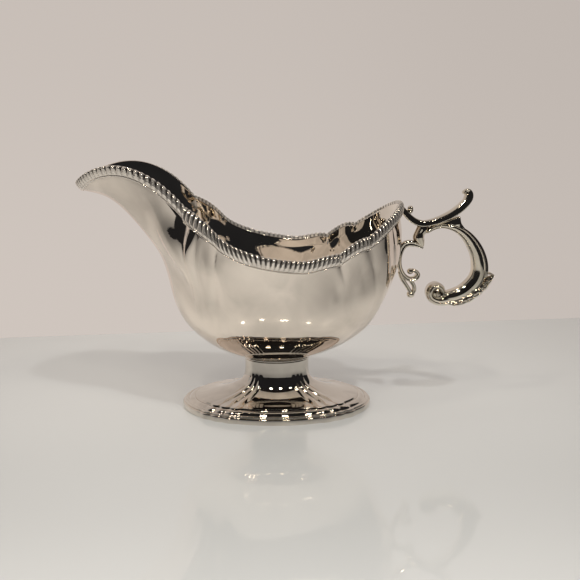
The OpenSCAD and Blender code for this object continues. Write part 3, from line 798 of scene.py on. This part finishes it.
def graded(material, axis, stops):
    """eases a material's colour along one axis, by stops of (place in mm, share of the colour)"""
    tree = material.node_tree
    link = tree.links.new
    color = next(n for n in tree.nodes if n.type in ("BSDF_PRINCIPLED", "EMISSION")).inputs[0]
    start, end = stops[0][0], stops[-1][0]
    place = add_node(tree, "TexCoord")
    apart = add_node(tree, "SeparateXYZ")
    span = add_node(tree, "MapRange", From_Min=start * MM, From_Max=end * MM)
    curve = add_node(tree, "FloatCurve")
    # the curve holds values up to 1, so it holds half the share
    points = curve.mapping.curves[0].points
    for at, share in stops[1:-1]:
        points.new((at - start) / (end - start), share / 2)
    points[0].location = (0, stops[0][1] / 2)
    points[len(points) - 1].location = (1, stops[-1][1] / 2)
    curve.mapping.update()
    double = add_node(tree, "Math")
    double.operation = "MULTIPLY"
    double.inputs[1].default_value = 2.0
    scale = add_node(tree, "VectorMath")
    scale.operation = "SCALE"
    scale.inputs[0].default_value = tuple(color.default_value)[:3]
    if color.is_linked:
        link(color.links[0].from_socket, scale.inputs[0])
    link(place.outputs["Object"], apart.inputs[0])
    link(apart.outputs[axis], span.inputs["Value"])
    link(span.outputs[0], curve.inputs["Value"])
    link(curve.outputs[0], double.inputs[0])
    link(double.outputs[0], scale.inputs["Scale"])
    link(scale.outputs[0], color)


def card(name, corners, material):
    """flat sheet of the stage"""
    mesh = bpy.data.meshes.new(name)
    mesh.from_pydata([tuple(c * MM for c in p) for p in corners], [], [(0, 1, 2, 3)])
    sheet = bpy.data.objects.new(name, mesh)
    scene.collection.objects.link(sheet)
    mesh.materials.append(material)


# the table; its back edge runs slightly away from the camera to the right
TABLE_LEFT, TABLE_RIGHT, TABLE_FRONT = -330, 420, -430
TABLE_BACK_LEFT, TABLE_BACK_RIGHT = 120.3, 198.6
table_gloss = painted("floor_gloss", (0.575, 0.585, 0.58), 0.30, coat=0.65)
# painted light and shade: the table's colour is graded, dark toward its left and right ends, lightest at the
# front, with a dimmer band just in front of the boat
graded(table_gloss, "X", [(TABLE_LEFT, 0.35), (-130, 0.92), (-40, 1.0), (60, 0.97), (200, 0.78),
                          (TABLE_RIGHT, 0.38)])
graded(table_gloss, "Y", [(TABLE_FRONT, 1.17), (-190, 1.02), (-110, 0.92), (-20, 1.05), (206, 1.12)])
card("floor", [(TABLE_LEFT, TABLE_FRONT, 0), (TABLE_RIGHT, TABLE_FRONT, 0),
               (TABLE_RIGHT, TABLE_BACK_RIGHT, 0), (TABLE_LEFT, TABLE_BACK_LEFT, 0)], table_gloss)
# the wall behind it, far enough back to leave the boat in sight from behind, with a return at its left
WALL_LEFT, WALL_RIGHT, WALL_BOTTOM, WALL_TOP = -1100, 1766, -900, 4500
WALL_Y, WALL_FRONT = 900, 40
# painted light: the wall gives off light of its own instead of being lit, graded a little darker toward the
# top and toward the right
wall_glow = glow("wall_glow", (0.585, 0.525, 0.482), 1.0)
graded(wall_glow, "Z", [(WALL_BOTTOM, 1.0), (-150, 1.04), (300, 0.97), (WALL_TOP, 0.95)])
graded(wall_glow, "X", [(WALL_LEFT, 1.0), (0, 1.0), (350, 0.94), (WALL_RIGHT, 0.88)])
card("backdrop", [(WALL_LEFT, WALL_Y, WALL_BOTTOM), (WALL_RIGHT, WALL_Y, WALL_BOTTOM),
                  (WALL_RIGHT, WALL_Y, WALL_TOP), (WALL_LEFT, WALL_Y, WALL_TOP)], wall_glow)
card("backdrop_left", [(WALL_LEFT, WALL_FRONT, WALL_BOTTOM), (WALL_LEFT, WALL_Y, WALL_BOTTOM),
                       (WALL_LEFT, WALL_Y, WALL_TOP), (WALL_LEFT, WALL_FRONT, WALL_TOP)], wall_glow)
# a narrow card that the spout reflects
card("side_left", [(-760, -60, 60), (-760, 76, 60), (-760, 76, 900), (-760, -60, 900)],
     painted("side_matte", (0.60, 0.59, 0.58), 0.9))

world = bpy.data.worlds.new("studio")
world.use_nodes = True
background = world.node_tree.nodes["Background"]
background.inputs["Color"].default_value = (0.016, 0.016, 0.017, 1)
background.inputs["Strength"].default_value = 1.0
scene.world = world
scene.view_settings.view_transform = "Standard"
scene.view_settings.look = "None"


# ---------------------------------------------------------------- light and camera
def soft_light(name, at, aim, size, power, color):
    """area light that the metal doesn't reflect; size is width and height in mm"""
    light = bpy.data.lights.new(name, "AREA")
    light.shape = "RECTANGLE"
    light.size, light.size_y = size[0] * MM, size[1] * MM
    light.energy = power
    light.color = color
    holder = bpy.data.objects.new(name, light)
    scene.collection.objects.link(holder)
    holder.location = Vector(at) * MM
    holder.rotation_euler = (Vector(aim) - Vector(at)).to_track_quat("-Z", "Y").to_euler()
    holder.visible_glossy = False


soft_light("key", (215, -450, 880), (20, 0, 0), (45, 45), 2.0, (1.0, 0.99, 0.975))
soft_light("overhead", (0, -250, 1300), (0, -100, 0), (1800, 1800), 7.1, (1.0, 0.985, 0.965))
soft_light("wall_wash", (0, -500, 350), (0, 200, 250), (1400, 500), 3.0, (1.0, 0.985, 0.97))
# ceiling lamps, seen as small bright spots in the metal
LAMP_HALF = 60
LAMPS = [(-260, -900, 1300), (180, -1000, 1350), (620, -700, 1300), (-700, -500, 1250)]
lamp_glow = glow("lamp_glow", (1.0, 0.91, 0.77), 60.0)
for number, (x, y, z) in enumerate(LAMPS):
    corners = [(x + across * LAMP_HALF, y + along * LAMP_HALF, z)
               for across, along in ((-1, -1), (-1, 1), (1, 1), (1, -1))]
    card(f"lamp_{number}", corners, lamp_glow)

# the photograph's viewing angle
CAMERA_AZIMUTH, CAMERA_ELEVATION, CAMERA_DISTANCE = math.radians(-2.189), math.radians(11.5), 420.0
CAMERA_TARGET = Vector((6.64, 0, 58.5))
back = Vector((math.sin(CAMERA_AZIMUTH) * math.cos(CAMERA_ELEVATION),
               -math.cos(CAMERA_AZIMUTH) * math.cos(CAMERA_ELEVATION), math.sin(CAMERA_ELEVATION)))
camera = bpy.data.cameras.new("camera")
camera.lens = 52.53
camera.sensor_width = 36.0
camera.clip_start = 0.01
camera.clip_end = 20
camera_holder = bpy.data.objects.new("camera", camera)
scene.collection.objects.link(camera_holder)
camera_holder.location = (CAMERA_TARGET + back * CAMERA_DISTANCE) * MM
camera_holder.rotation_euler = (-back).to_track_quat("-Z", "Y").to_euler()
scene.camera = camera_holder
